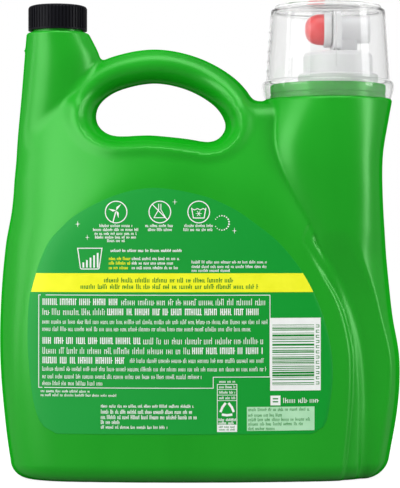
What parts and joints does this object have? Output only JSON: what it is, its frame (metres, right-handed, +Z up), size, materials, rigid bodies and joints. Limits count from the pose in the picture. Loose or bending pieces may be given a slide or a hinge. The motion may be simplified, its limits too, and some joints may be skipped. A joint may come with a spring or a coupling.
{
  "type": "laundry detergent bottle with push tap",
  "caption": "Large blown detergent bottle with a through handle, a ribbed vent cap, and a push tap under a clear measuring cup.",
  "frame": {"origin": "middle of the bounding box in X and Y, on the surface that the bottle stands on", "axes": "+Z up, +X towards the tap, and -Y the printed back of the bottle"},
  "size_m": [0.263, 0.1027, 0.3098],
  "materials": {
    "bottle_plastic": "satin gloss",
    "label_film": "printed film",
    "cap_black": "satin",
    "liner_foam": "foam",
    "cup_clear": "clear",
    "tap_white": "moulded white",
    "button_red": "moulded red",
    "seal_rubber": "soft"
  },
  "bodies": {
    "bottle": {"bottle": "bottle_plastic", "back_label": "label_film", "tap_closure": "tap_white", "closure_gasket": "seal_rubber", "tap_body": "tap_white", "button_ring": "tap_white"},
    "vent_liner": {"vent_cap_liner": "liner_foam"},
    "vent_cap": {"vent_cap": "cap_black"},
    "measuring_cup": {"measuring_cup": "cup_clear"},
    "tap_button": {"tap_button": "button_red", "valve_stem": "tap_white", "valve_seal": "seal_rubber"}
  },
  "joints": [
    {"name": "vent_cap_rise", "type": "slide", "parent": "bottle", "child": "vent_liner", "axis": [0, 0, 1], "range_m": [0, 0.0171]},
    {"name": "vent_cap_turn", "type": "hinge", "parent": "vent_liner", "child": "vent_cap", "pos_m": [-0.094, 0, 0.3], "axis": [0, 0, 1], "range_deg": [0, 1440]},
    {"name": "cup_lift", "type": "slide", "parent": "bottle", "child": "measuring_cup", "axis": [0, 0, 1], "range_m": [0, 0.07]},
    {"name": "button_press", "type": "slide", "parent": "bottle", "child": "tap_button", "axis": [1, 0, 0], "range_m": [0, 0.003], "stiffness_N_per_m": 4000, "springref_m": -0.001}
  ],
  "couplings": [
    {"joint": "vent_cap_rise", "follows": "vent_cap_turn", "m_per_rad": 0.0006732}
  ]
}
